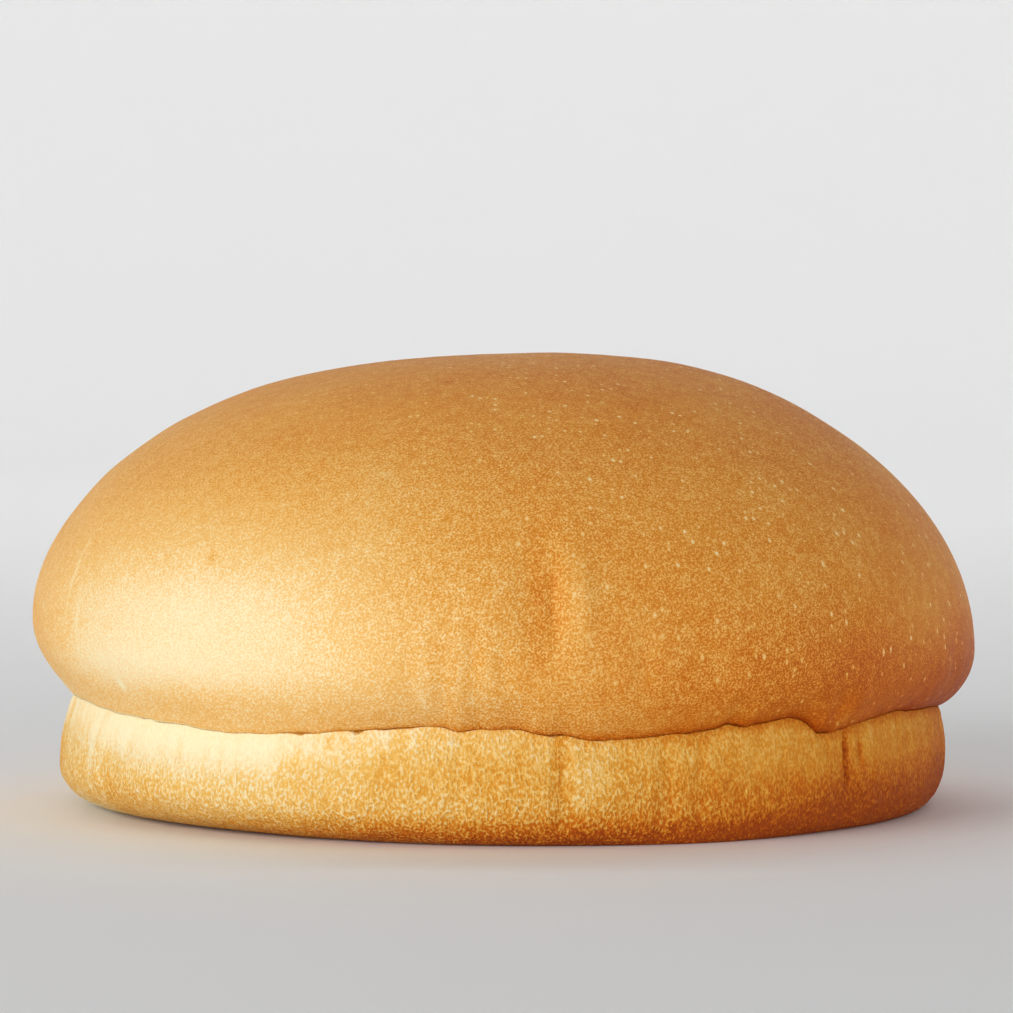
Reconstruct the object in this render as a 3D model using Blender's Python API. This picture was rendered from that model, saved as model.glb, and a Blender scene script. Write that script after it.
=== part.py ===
"""A hamburger bun: one piece of bread that rose over the rim of a ring tin.

The crown domes out past the heel, and its lip folds down onto the heel in one
wavy crease. The whole skin is one turned profile whose sizes change slowly round
the bun, with the dents and pleats of the baked skin pressed into it.

Metres, +Z up. The origin is the middle of the underside, on the table. Azimuths
are in degrees, 0 along +X and 90 along +Y. The bun's face is turned to -Y.
"""

import math

import bpy
import numpy as np

# Driving dimensions
CROWN_WIDTH = 0.1020
CROWN_DEPTH = 0.1004
TOTAL_HEIGHT = 0.0490
HEEL_WIDTH = 0.0957
CREASE_HEIGHT = 0.0117

# Crown: where it is widest, and how its dome is rounded. A lean is what the
# right side has more of than the mean, and the left side less.
EQUATOR_HEIGHT = 0.0189
EQUATOR_LEAN = -0.0018
DOME_POWER = 2.05
DOME_OVERSHOOT = 0.0005
DOME_LEAN = 0.0005
TOP_FLAT_DEPTH = 0.0006
TOP_FLAT_RADIUS = 0.0130
TOP_FLAT_SHIFT = -0.0080

# Lip: the crown's lower edge, which turns in to the crease
LIP_POWER = 1.08
LIP_POWER_LEAN = 0.25
CREASE_INSET = 0.00105
CREASE_INSET_LEAN = -0.00035
CREASE_HEIGHT_LEAN = -0.0003
CREASE_DEPTH = 0.0018
CREASE_GAP = 0.0006

# Heel: the side that the tin shaped, and its rounded lower edge
SHOULDER_POWER = 1.9
HEEL_WIDEST_HEIGHT = 0.0048
FOOT_RADIUS = 0.0442

# Places round the bun where a size departs from its mean: azimuth, half width
# in degrees, amount
CREASE_WAVES = (
    (-172, 16, 0.0008),
    (-126, 18, -0.00065),
    (-99, 10, 0.0007),
    (-77, 9, -0.0007),
    (-54, 10, 0.0006),
    (-43, 5, -0.0009),
    (-24, 14, 0.00035),
    (0, 11, -0.0006),
    (25, 15, 0.0006),
    (52, 9, -0.0008),
    (80, 14, 0.0005),
    (108, 7, -0.0007),
    (135, 12, 0.0006),
    (160, 9, -0.0005),
    (180, 11, -0.0006),
)
FOOT_TUCKS = (
    (-138, 39, -0.0062),
    (15, 22, 0.0006),
    (72, 26, -0.0022),
    (128, 20, -0.0010),
)
CROWN_SWELLS = (
    (-118, 30, 0.0003),
    (-60, 26, -0.0003),
    (40, 30, -0.0005),
    (95, 24, 0.0004),
    (150, 28, -0.0004),
)

# Dents in the crown's skin: azimuth, height, half width, half length, depth
CROWN_DENTS = (
    (180.0, 0.0320, 0.0160, 0.0075, 0.00040),
    (-84.0, 0.0262, 0.0021, 0.0050, 0.00050),
    (-96.0, 0.0185, 0.0020, 0.0050, 0.00020),
    (-66.0, 0.0180, 0.0030, 0.0040, 0.00015),
    (-20.0, 0.0170, 0.0022, 0.0040, 0.00020),
    (24.0, 0.0240, 0.0030, 0.0065, 0.00035),
    (66.0, 0.0290, 0.0035, 0.0050, 0.00030),
    (104.0, 0.0210, 0.0026, 0.0060, 0.00045),
    (148.0, 0.0300, 0.0032, 0.0055, 0.00030),
)

# Broad unevenness of the dome: how many lumps and hollows, and how large
LUMP_COUNT = 26
LUMP_RADIUS = 0.0130
LUMP_AMOUNT = 0.00030
LUMP_SEED = 12

# Swellings and hollows of the dome: x, y, z, radius, amount
DOME_SWELLINGS = (
    (0.0230, 0.0, 0.0465, 0.0120, 0.00056),
    (-0.0270, 0.0, 0.0450, 0.0070, 0.00020),
    (-0.0420, 0.0, 0.0350, 0.0130, -0.00030),
)

# Pleats down the heel's side: azimuth, half width, depth
HEEL_PLEATS = (
    (-150.0, 0.0028, 0.00030),
    (-108.0, 0.0025, 0.00018),
    (-82.0, 0.0022, 0.00030),
    (-69.0, 0.0022, 0.00022),
    (-41.5, 0.0022, 0.00045),
    (-12.0, 0.0028, 0.00020),
    (38.0, 0.0024, 0.00040),
    (87.0, 0.0026, 0.00030),
    (121.0, 0.0022, 0.00040),
    (160.0, 0.0026, 0.00025),
)

# Mesh
SEGMENTS = 120
DOME_ROWS = 22
LIP_ROWS = 8
SHOULDER_ROWS = 5
FOOT_ROWS = 6
BASE_RINGS = (0.93, 0.55)

# Crust: golden brown, satin
CRUST_COLOUR = (0.62, 0.31, 0.09, 1.0)
CRUST_ROUGHNESS = 0.5


def swell(azimuth, centre, half_width):
    """A smooth hump round the circle: 1 at the centre, 1/e at its half width, in degrees."""
    away = np.angle(np.exp(1j * (azimuth - math.radians(centre))))
    return np.exp(-((away / math.radians(half_width)) ** 2))


def with_swells(azimuth, mean, places):
    """The mean size, with each place's amount added round its azimuth."""
    return mean + sum(amount * swell(azimuth, centre, width) for centre, width, amount in places)


def sizes_round(azimuth):
    """Every size of the profile at each azimuth."""
    right = np.cos(azimuth)
    narrower = (CROWN_WIDTH - CROWN_DEPTH) / 2 * np.sin(azimuth) ** 2
    heel = HEEL_WIDTH / 2 - narrower
    crease_mean = CREASE_HEIGHT + CREASE_HEIGHT_LEAN * right
    return {
        "right": right,
        "crown": with_swells(azimuth, CROWN_WIDTH / 2 - narrower, CROWN_SWELLS),
        "equator": EQUATOR_HEIGHT + EQUATOR_LEAN * right,
        "lip_power": LIP_POWER + LIP_POWER_LEAN * right,
        "crease": heel - CREASE_INSET - CREASE_INSET_LEAN * right,
        "crease_height": with_swells(azimuth, crease_mean, CREASE_WAVES),
        "heel": heel,
        "foot": with_swells(azimuth, FOOT_RADIUS, FOOT_TUCKS),
    }


def quarter_turns(rows):
    """Angles of a quarter turn, without its start, as a column."""
    return np.linspace(0, math.pi / 2, rows + 1)[1:, None]


def dome(size):
    """Superellipse from the top of the bun out to the crown's widest ring."""
    turn = quarter_turns(DOME_ROWS)
    out = np.sin(turn) ** (2 / DOME_POWER)
    up = np.cos(turn) ** (2 / DOME_POWER)
    top = TOTAL_HEIGHT + DOME_OVERSHOOT + DOME_LEAN * size["right"] * out
    return size["crown"] * out, size["equator"] + (top - size["equator"]) * up


def lip(size):
    """Quarter turn from the widest ring down and in to the mouth of the crease.

    A larger lip power keeps it full for longer before it turns in.
    """
    turn = quarter_turns(LIP_ROWS)
    overhang = size["crown"] - size["crease"]
    radius = size["crease"] + overhang * np.cos(turn) ** (2 / size["lip_power"])
    return radius, size["equator"] - (size["equator"] - size["crease_height"]) * np.sin(turn)


def crease(size):
    """The fold: in to its bottom, and out again to the heel's shoulder."""
    radius = np.stack([size["crease"] - CREASE_DEPTH, size["crease"]])
    drop = np.array([CREASE_GAP / 2, CREASE_GAP])[:, None]
    return radius, size["crease_height"] - drop


def shoulder(size):
    """Power curve from the crease down to the heel's widest ring."""
    left = np.linspace(1, 0, SHOULDER_ROWS + 1)[1:, None]
    radius = size["heel"] - (size["heel"] - size["crease"]) * left**SHOULDER_POWER
    fall = size["crease_height"] - CREASE_GAP - HEEL_WIDEST_HEIGHT
    return radius, HEEL_WIDEST_HEIGHT + fall * left


def foot(size):
    """Quarter ellipse from the heel's widest ring in to the flat underside."""
    turn = quarter_turns(FOOT_ROWS)
    radius = size["foot"] + (size["heel"] - size["foot"]) * np.cos(turn)
    return radius, np.broadcast_to(HEEL_WIDEST_HEIGHT * (1 - np.sin(turn)), radius.shape)


def crown_rings(azimuth, size):
    """Points of the dome's and the lip's rings: (ring, segment, xyz)."""
    radius, height = (np.concatenate(pair) for pair in zip(dome(size), lip(size)))
    return ring_points(azimuth, radius, height)


def heel_rings(azimuth, size):
    """Points of the fold's, the shoulder's and the foot's rings: (ring, segment, xyz)."""
    radius, height = (np.concatenate(trio) for trio in zip(crease(size), shoulder(size), foot(size)))
    return ring_points(azimuth, radius, height)


def ring_points(azimuth, radius, height):
    """Points at each radius and height, round the upright axis."""
    return np.stack([radius * np.cos(azimuth), radius * np.sin(azimuth), height], axis=-1)


def angle_across(half_width):
    """Degrees that a width on the crown's widest ring takes up."""
    return math.degrees(half_width / (CROWN_WIDTH / 2))


def sunk_in(points, depth):
    """The points moved towards the upright axis by the depth."""
    radius = np.hypot(points[..., 0], points[..., 1])
    shrink = 1 - depth / np.maximum(radius, CROWN_WIDTH / 8)
    return points * np.stack([shrink, shrink, np.ones_like(shrink)], axis=-1)


def hump(points, centre, radius):
    """A smooth hump in space: 1 at its centre, 1/e at its radius."""
    away = np.linalg.norm(points - np.array(centre), axis=-1) / radius
    return np.exp(-(away**2))


def lumpy(points):
    """The points moved out from the bun's middle where a lump is, and in where a hollow is.

    The named swellings come first. The lumps lie on a golden-angle spiral over the
    dome, each a smooth hump of a random height.
    """
    chance = np.random.default_rng(LUMP_SEED)
    middle = np.array([0, 0, CREASE_HEIGHT])
    moved = np.zeros(points.shape[:-1])
    for *centre, radius, amount in DOME_SWELLINGS:
        moved += amount * hump(points, centre, radius)
    for index in range(LUMP_COUNT):
        share = (index + 0.5) / LUMP_COUNT
        turn = index * math.pi * (3 - math.sqrt(5))
        level = math.sqrt(1 - share**2) * CROWN_WIDTH / 2
        height = CREASE_HEIGHT + (TOTAL_HEIGHT - CREASE_HEIGHT) * share
        centre = (level * math.cos(turn), level * math.sin(turn), height)
        moved += LUMP_AMOUNT * chance.uniform(-1, 1) * hump(points, centre, LUMP_RADIUS)
    reach = np.linalg.norm(points - middle, axis=-1)
    return middle + (points - middle) * (1 + moved / reach)[..., None]


def pressed_crown(points):
    """The crown with its unevenness, the flattened top and the dents pressed in."""
    points = lumpy(points)
    x, y, z = points[..., 0], points[..., 1], points[..., 2]
    azimuth = np.arctan2(y, x)
    dents = np.zeros_like(z)
    for centre, height, half_width, half_length, depth in CROWN_DENTS:
        along = np.exp(-(((z - height) / half_length) ** 2))
        dents += depth * along * swell(azimuth, centre, angle_across(half_width))
    points = sunk_in(points, dents)
    from_flat = np.hypot(x - TOP_FLAT_SHIFT, y) / TOP_FLAT_RADIUS
    points[..., 2] -= TOP_FLAT_DEPTH * np.exp(-(from_flat**2)) * (z > EQUATOR_HEIGHT)
    return points


def pressed_heel(points):
    """The heel with its pleats pressed in, deepest halfway up its side."""
    azimuth = np.arctan2(points[..., 1], points[..., 0])
    pleats = np.zeros(points.shape[:-1])
    for centre, half_width, depth in HEEL_PLEATS:
        pleats += depth * swell(azimuth, centre, angle_across(half_width))
    up_the_heel = np.clip(points[..., 2] / CREASE_HEIGHT, 0, 1)
    return sunk_in(points, pleats * np.sin(math.pi * up_the_heel))


def fitted(points):
    """The points moved and stretched a little, so that the whole has its exact size and place."""
    low = points.reshape(-1, 3).min(axis=0)
    high = points.reshape(-1, 3).max(axis=0)
    low[2] = 0
    wanted = np.array([CROWN_WIDTH, CROWN_DEPTH, TOTAL_HEIGHT])
    middle = np.array([(low[0] + high[0]) / 2, (low[1] + high[1]) / 2, 0])
    return (points - middle) * wanted / (high - low)


def bun_points():
    """All points: the top, every ring of the skin and of the underside, and its middle."""
    azimuth = np.arange(SEGMENTS) * 2 * math.pi / SEGMENTS
    size = sizes_round(azimuth)
    top = pressed_crown(np.array([[0, 0, TOTAL_HEIGHT + DOME_OVERSHOOT]]))
    crown = pressed_crown(crown_rings(azimuth, size))
    heel = pressed_heel(heel_rings(azimuth, size))
    base = [heel[-1] * (share, share, 0) for share in BASE_RINGS]
    rings = np.concatenate([crown, heel, base]).reshape(-1, 3)
    return fitted(np.concatenate([top, rings, [[0, 0, 0]]]))


def bun_faces(points):
    """Quads between neighbouring rings, and triangles at the top and the underside's middle."""
    rings = (len(points) - 2) // SEGMENTS
    place = np.arange(rings * SEGMENTS).reshape(rings, SEGMENTS) + 1
    after = np.roll(place, -1, axis=1)
    quads = np.stack([place[:-1], place[1:], after[1:], after[:-1]], axis=-1).reshape(-1, 4)
    last = len(points) - 1
    cap = [(0, a, b) for a, b in zip(place[0], after[0])]
    base = [(last, b, a) for a, b in zip(place[-1], after[-1])]
    return [tuple(map(int, face)) for face in (*quads, *cap, *base)]


def crust_material():
    """Baked crust in its mean colour."""
    material = bpy.data.materials.new("crust")
    material.use_nodes = True
    shader = material.node_tree.nodes["Principled BSDF"]
    shader.inputs["Base Color"].default_value = CRUST_COLOUR
    shader.inputs["Roughness"].default_value = CRUST_ROUGHNESS
    shader.inputs["Metallic"].default_value = 0.0
    return material


def make_bun():
    """The bun as one closed mesh."""
    points = bun_points()
    mesh = bpy.data.meshes.new("bun")
    mesh.from_pydata(points.tolist(), [], bun_faces(points))
    mesh.validate()
    mesh.shade_smooth()
    mesh.materials.append(crust_material())
    bun = bpy.data.objects.new("bun", mesh)
    bpy.context.scene.collection.objects.link(bun)
    return bun


def main():
    for old in list(bpy.data.objects):
        bpy.data.objects.remove(old)
    make_bun()


main()
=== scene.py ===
"""A hamburger bun in its baked skin, on a plain pale floor in soft light.

The skin is one closed surface of two parameters: the azimuth round the bun, and
the way down a turned profile from the crown's top to the middle of the underside.
Its sizes change slowly round the bun, and small relief stands on it along its
normals. How far each place is baked is worked out with the shape, with painted
shade along and inside the crease, in pleats, cracks and dents, and painted
highlights added to it. The crust's material turns that into colour, with painted
glints on the heel.

Metres, +Z up. Azimuths are in degrees, 0 along +X and 90 along +Y, and the bun's
face is turned to -Y.
"""

import itertools
import math

import bpy
import numpy as np
from bpy.props import FloatProperty, FloatVectorProperty, PointerProperty
from bpy.types import Operator, Panel, PropertyGroup
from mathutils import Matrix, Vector


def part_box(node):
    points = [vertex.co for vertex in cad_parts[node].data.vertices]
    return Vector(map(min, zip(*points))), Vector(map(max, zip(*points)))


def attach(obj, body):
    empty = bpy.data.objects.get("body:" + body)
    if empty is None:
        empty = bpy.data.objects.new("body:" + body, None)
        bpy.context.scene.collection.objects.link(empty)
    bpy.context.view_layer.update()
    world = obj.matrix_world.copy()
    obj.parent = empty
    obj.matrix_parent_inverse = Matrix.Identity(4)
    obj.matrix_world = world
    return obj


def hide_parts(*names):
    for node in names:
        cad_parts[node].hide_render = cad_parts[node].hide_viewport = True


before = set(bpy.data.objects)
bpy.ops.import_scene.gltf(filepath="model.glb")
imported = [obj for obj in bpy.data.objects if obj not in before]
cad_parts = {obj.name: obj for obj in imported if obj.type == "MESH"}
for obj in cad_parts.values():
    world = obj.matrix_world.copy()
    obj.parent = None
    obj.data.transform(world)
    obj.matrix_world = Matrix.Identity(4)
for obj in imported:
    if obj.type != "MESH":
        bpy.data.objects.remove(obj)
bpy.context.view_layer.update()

bl_info = {
    "name": "Hamburger bun",
    "version": (1, 0, 0),
    "blender": (4, 5, 0),
    "location": "3D View > Sidebar > Bun",
    "description": "Makes a hamburger bun with its baked crust, and a stage to show it on",
    "category": "Object",
}

CAD_LOW, CAD_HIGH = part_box("bun")

# Crown: where it is widest, and how its dome is rounded. A lean is what the
# right side has more of than the mean, and the left side less.
EQUATOR_HEIGHT = 0.0189
EQUATOR_LEAN = -0.0018
DOME_POWER = 2.05
DOME_OVERSHOOT = 0.0005
DOME_LEAN = 0.0005
TOP_FLAT_DEPTH = 0.0006
TOP_FLAT_RADIUS = 0.0130
TOP_FLAT_SHIFT = -0.0080

# Lip and crease
LIP_POWER = 1.15
LIP_POWER_LEAN = 0.25
CREASE_INSET = 0.00105
CREASE_INSET_LEAN = -0.00035
CREASE_HEIGHT_LEAN = -0.0003
FOLD_RISE = 500

# Heel
SHOULDER_POWER = 1.9
SHOULDER_SPACING = 1.3
SHOULDER_ROUNDING = 0.00004
SHOULDER_ROUNDING_LEAN = 0.00002
SHOULDER_ROUNDING_POWER = 26
HEEL_WIDEST_HEIGHT = 0.0048
FOOT_RADIUS = 0.0442

# Places round the bun where a size departs from its mean: azimuth, half width
# in degrees, amount
CREASE_WAVES = (
    (-172, 16, 0.0008),
    (-126, 18, -0.00065),
    (-99, 10, 0.0007),
    (-77, 9, -0.0007),
    (-54, 10, 0.0006),
    (-43, 5, -0.0009),
    (-24, 14, 0.00035),
    (0, 11, -0.0006),
    (25, 15, 0.0006),
    (52, 9, -0.0008),
    (80, 14, 0.0005),
    (108, 7, -0.0007),
    (135, 12, 0.0006),
    (160, 9, -0.0005),
    (180, 11, -0.0006),
)
CREASE_KINKS = (
    (-127, 5.0, -0.0003),
    (-95.5, 1.6, -0.00036),
    (-88.5, 2.5, 0.0004),
    (-82.5, 1.6, 0.0003),
    (-61, 1.1, 0.0003),
    (-58, 1.1, -0.0003),
    (-51, 3.0, 0.00045),
    (-46.4, 1.2, -0.00055),
    (-44.4, 1.2, -0.0003),
    (-30, 4.0, 0.0003),
    (22, 1.6, 0.0004),
    (63, 1.5, -0.0005),
    (95, 2.2, 0.0004),
    (128, 1.6, -0.0005),
    (151, 2.6, 0.0004),
)
FOOT_TUCKS = (
    (-138, 39, -0.0062),
    (-62, 13, 0.0014),
    (15, 22, 0.0006),
    (72, 26, -0.0022),
    (128, 20, -0.001),
)
HEEL_SWELLS = (
    (-5, 45, -0.00014),
)
HEEL_RISES = (
    (-5, 55, 0.0014),
)
CROWN_SWELLS = (
    (-118, 30, 0.0003),
    (-60, 26, -0.0003),
    (40, 30, -0.0005),
    (95, 24, 0.0004),
    (150, 28, -0.0004),
)
FOLD_DEPTHS = (
    (-154, 25.0, -0.00064),
    (-108.7, 1.5, 0.0005),
    (-104, 3.0, 0.0003),
    (-83.6, 2.0, 0.0004),
    (-45.5, 3.0, 0.0004),
    (-24, 10.0, 0.0002),
    (31, 5.0, 0.0008),
    (74, 3.0, 0.0008),
    (104, 14.0, 0.0009),
    (142, 3.0, 0.0006),
)
FOLD_GAPS = (
    (-146, 15.0, 0.00012),
    (-116.4, 1.0, 0.00025),
    (-108.7, 0.7, 0.00045),
    (-104, 2.4, 0.00012),
    (-83.6, 0.9, 0.00022),
    (-61, 9.0, 0.0001),
    (-46, 1.6, 0.0001),
    (-20, 9.0, 0.00008),
    (31, 1.3, 0.0003),
    (74, 1.1, 0.00035),
    (104, 12.0, 0.00035),
    (142, 1.5, 0.00035),
    (167, 8.0, 0.00015),
)

# Webs of skin that close the crease: azimuth, half width in degrees, how nearly
WEBS = (
    (-142, 0.8, 0.8),
    (-137, 0.5, 0.7),
    (-128, 2.0, 0.9),
    (-120.5, 2.0, 0.9),
    (-115.7, 0.25, 0.8),
    (-113.9, 0.3, 0.9),
    (-111.5, 0.8, 0.7),
    (-99, 0.8, 0.8),
    (-95.6, 0.35, 0.9),
    (-91, 1.3, 0.7),
    (-86.5, 0.6, 0.6),
    (-79.2, 0.3, 0.9),
    (-75.5, 0.9, 0.6),
    (-68, 1.6, 0.8),
    (-57.5, 1.2, 0.7),
    (-51.5, 1.8, 0.7),
    (-47.1, 0.35, 0.8),
    (-43.4, 0.35, 0.9),
    (-39.5, 1.6, 0.7),
    (-31, 2.5, 0.6),
)

# How far webs take back the fold's depth and gap, and the random ones round the
# back: range of their noise, how nearly they close it, range of the azimuth's sine
WEB_SHALLOWER = 0.80
WEB_NARROWER = 0.65
CHANCE_WEBS = (0.05, 0.40)
CHANCE_WEB_CLOSING = 0.8
CHANCE_WEB_BACK = (-0.3, 0.3)

# Random patterns: size of a feature in metres, or one for each axis, seed, layers
NOISES = {
    "crease": (0.0026, 31, 3),
    "webs": (0.0045, 43, 3),
    "waves": (0.0060, 51, 1),
    "ripples": (0.0024, 52, 3),
    "puckers": ((0.0012, 0.0012, 0.0050), 55, 3),
    "fibres": ((0.0009, 0.0009, 0.0045), 61, 3),
    "crumb": ((0.0011, 0.0011, 0.0015), 64, 3),
    "blotches": (0.011, 71, 1),
    "spots": (0.0045, 72, 1),
    "stray": ((0.0040, 0.0040, 0.0060), 81, 3),
    "streaks": ((0.0014, 0.0014, 0.0120), 83, 3),
}

# Dents in the crown's skin: azimuth, height, half width, half length, depth
CROWN_DENTS = (
    (180, 0.032, 0.016, 0.0075, 0.0004),
    (-86.2, 0.0252, 0.0026, 0.006, 0.0007),
    (-84, 0.025, 0.0011, 0.0048, 0.00036),
    (-83.9, 0.0246, 0.0006, 0.004, 0.00016),
    (-80.4, 0.0252, 0.0013, 0.005, -0.0003),
    (-77.6, 0.0212, 0.0009, 0.0013, -0.0001),
    (-73.5, 0.0188, 0.0012, 0.0028, 0.00022),
    (-60.9, 0.0252, 0.0005, 0.0005, -0.00012),
    (-62.6, 0.0258, 0.0004, 0.0004, -0.0001),
    (-59.2, 0.0247, 0.0004, 0.0005, -0.0001),
    (-117.3, 0.0199, 0.0006, 0.0006, 0.00008),
    (-101, 0.018, 0.0009, 0.0035, 0.00017),
    (-96.8, 0.016, 0.0009, 0.0042, 0.0002),
    (-93.4, 0.0185, 0.0009, 0.0036, 0.0002),
    (-90, 0.019, 0.0008, 0.003, 0.00016),
    (-66, 0.018, 0.003, 0.004, 0.00015),
    (-45.6, 0.0137, 0.0015, 0.0014, 0.00055),
    (-42.4, 0.014, 0.0012, 0.0017, -0.00022),
    (-20, 0.017, 0.0022, 0.004, 0.0002),
    (24, 0.024, 0.003, 0.0065, 0.00035),
    (66, 0.029, 0.0035, 0.005, 0.00045),
    (79, 0.0185, 0.0009, 0.0038, 0.00018),
    (83.5, 0.017, 0.0009, 0.0042, 0.0002),
    (88, 0.019, 0.0008, 0.0034, 0.00017),
    (104, 0.021, 0.0024, 0.006, 0.00062),
    (106.5, 0.0212, 0.001, 0.0046, -0.00022),
    (127, 0.018, 0.001, 0.004, 0.00018),
    (148, 0.03, 0.0032, 0.0055, 0.0003),
)

# Places where the crown's crust is darker or paler than round them: azimuth,
# height, half width, half length, browning. Some, noted below, are painted shade
# and painted highlights.
CROWN_MARKS = (
    (-130, 0.0225, 0.035, 0.0092, -0.52),
    (-108, 0.0172, 0.0142, 0.005, -0.1),
    # Painted shade: a darker, yellower band low on the lip at the left, under its roll
    (-145, 0.0134, 0.032, 0.0032, 0.38),
    (-170, 0.017, 0.015, 0.005, 0.3),
    (-165, 0.028, 0.018, 0.006, 0.1),
    (-116, 0.031, 0.018, 0.008, -0.12),
    (-88, 0.0125, 0.018, 0.003, -0.13),
    (-92, 0.0152, 0.008, 0.0022, -0.12),
    (-76, 0.0262, 0.01, 0.007, 0.12),
    (-28, 0.016, 0.012, 0.0045, 0.12),
    (-50, 0.018, 0.015, 0.0048, 0.24),
    (-12, 0.014, 0.028, 0.0065, 0.78),
    # Painted shade on the trough's left side, and a painted highlight on its steep right flank
    (-85.5, 0.0245, 0.0019, 0.0052, 0.3),
    (-81.2, 0.025, 0.0012, 0.0048, -0.26),
    # Painted shade in the pinch of the crease, and a painted highlight on the lip beside it
    (-46.3, 0.012, 0.0007, 0.001, 0.5),
    (-43.6, 0.0121, 0.0006, 0.001, -0.45),
    (-85.8, 0.0198, 0.0008, 0.0009, 0.22),
    # Painted shade on a small step, and a painted highlight on its left edge
    (-75.7, 0.0187, 0.0007, 0.0014, 0.12),
    (-77.2, 0.0188, 0.0005, 0.0014, -0.12),
    (-99.5, 0.0152, 0.0007, 0.003, -0.12),
    (-94.8, 0.0203, 0.0006, 0.003, -0.12),
    (-91.6, 0.018, 0.0006, 0.0025, -0.1),
    (-127.6, 0.0288, 0.0005, 0.0004, 0.3),
    (-126.2, 0.0284, 0.0004, 0.0003, 0.25),
    (-143, 0.0152, 0.0004, 0.0005, -0.5),
    (-107.3, 0.0376, 0.0015, 0.0003, -0.22),
    (-105.5, 0.0464, 0.004, 0.0002, 0.2),
    (-88.3, 0.0447, 0.003, 0.0003, 0.16),
    (-154, 0.0276, 0.0004, 0.004, -0.2),
    (-150.7, 0.0216, 0.0004, 0.003, -0.12),
    (-61, 0.0252, 0.0012, 0.0009, -0.16),
    (38, 0.024, 0.012, 0.008, 0.14),
    (70, 0.018, 0.016, 0.005, -0.16),
    # Painted shade in a dent at the back, and a painted highlight on its ridge
    (103.5, 0.0205, 0.0018, 0.0052, 0.24),
    (107, 0.021, 0.001, 0.0042, -0.14),
    (81, 0.0178, 0.0007, 0.0034, -0.12),
    (86, 0.0182, 0.0006, 0.003, -0.12),
    (112, 0.03, 0.014, 0.009, 0.12),
    (140, 0.019, 0.018, 0.007, -0.08),
)
HEEL_MARKS = (
    (178, 0.0058, 0.015, 0.004, 0.7),
    (-148, 0.0035, 0.014, 0.003, 0.25),
    (-12, 0.008, 0.018, 0.0042, 0.4),
    (-95, 0.0045, 0.023, 0.0025, -0.2),
    (-146.7, 0.01, 0.001, 0.0015, -0.2),
    # Painted shade along the pleats at -112, -105 and -83
    (-112.3, 0.0103, 0.0005, 0.0008, 0.26),
    (-105, 0.0089, 0.0005, 0.001, 0.24),
    (-83.2, 0.0088, 0.0006, 0.0026, 0.42),
    (-80, 0.0062, 0.003, 0.003, -0.22),
    # Painted shade along the pleats at -69.5 and -65
    (-69.7, 0.0083, 0.0006, 0.0014, 0.26),
    (-64.2, 0.0104, 0.0005, 0.0008, 0.3),
    (-66, 0.0101, 0.0004, 0.0004, 0.6),
    (-66.2, 0.0086, 0.0003, 0.0005, -0.7),
    # Painted shade in the two cracks
    (-41.2, 0.0078, 0.00032, 0.0027, 1.4),
    (-38.7, 0.0085, 0.00022, 0.002, 0.6),
    (24, 0.009, 0.0008, 0.003, 0.35),
    # Painted shade along a pleat
    (61, 0.008, 0.0006, 0.002, 0.3),
    (96, 0.0095, 0.012, 0.003, -0.2),
    # Painted shade along a pleat
    (133, 0.009, 0.0006, 0.0024, 0.3),
)

# Broad unevenness of the dome
LUMP_COUNT = 26
LUMP_RADIUS = 0.0130
LUMP_AMOUNT = 0.00030
LUMP_SEED = 12

# Swellings and hollows of the dome: x, y, z, radius, amount
DOME_SWELLINGS = (
    (0.023, 0.0, 0.0465, 0.012, 0.00056),
    (-0.027, 0.0, 0.045, 0.007, 0.0002),
    (-0.042, 0.0, 0.035, 0.013, -0.0003),
)

# Pleats down the heel's side: azimuth, half width, depth
HEEL_PLEATS = (
    (-150, 0.0028, 0.0003),
    (-112, 0.0008, 0.00012),
    (-105, 0.0008, 0.00012),
    (-95.5, 0.0009, 0.00014),
    (-82.6, 0.0013, 0.00046),
    (-69.5, 0.0012, 0.00028),
    (-65, 0.0009, 0.00018),
    (-41.5, 0.0022, 0.0004),
    (-12, 0.0028, 0.0002),
    (38, 0.002, 0.0004),
    (61, 0.0009, 0.00015),
    (87, 0.0022, 0.0003),
    (121, 0.0018, 0.0004),
    (133, 0.0009, 0.00015),
    (160, 0.0026, 0.00025),
)

# Cracks down the heel's side: azimuth, top, bottom, half width, depth
HEEL_CRACKS = (
    (-41.6, 0.0108, 0.0046, 0.00014, 0.0007),
    (-38.8, 0.0106, 0.0062, 0.00012, 0.00026),
)

# How a crack wanders: degrees, radians of the wave for each metre, where it starts
CRACK_WANDER = (
    (0.18, 1400, 0),
    (0.12, 3100, 1),
)
CRACK_SLOW_SIDE = 3
CRACK_FADE_BELOW = 0.0015
CRACK_FADE_ABOVE = 0.0008

# Small relief: height of each form, and where it stands. From here on, a pair is
# where something starts and where it is full.
WAVE_HEIGHT = 0.00008
RIPPLE_HEIGHT = 0.000035
PUCKER_HEIGHT = 0.00008
PUCKER_MIDDLE = 0.001
PUCKER_REACH = 0.0022
FIBRE_HEIGHT = 0.00017
FIBRE_REACH = (0.0065, 0.0010)
CRUMB_HEIGHT = 0.00020
RELIEF_FROM_CREASE = (-0.0002, 0.0006)
RELIEF_FROM_FLOOR = (0.0, 0.0012)

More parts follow.
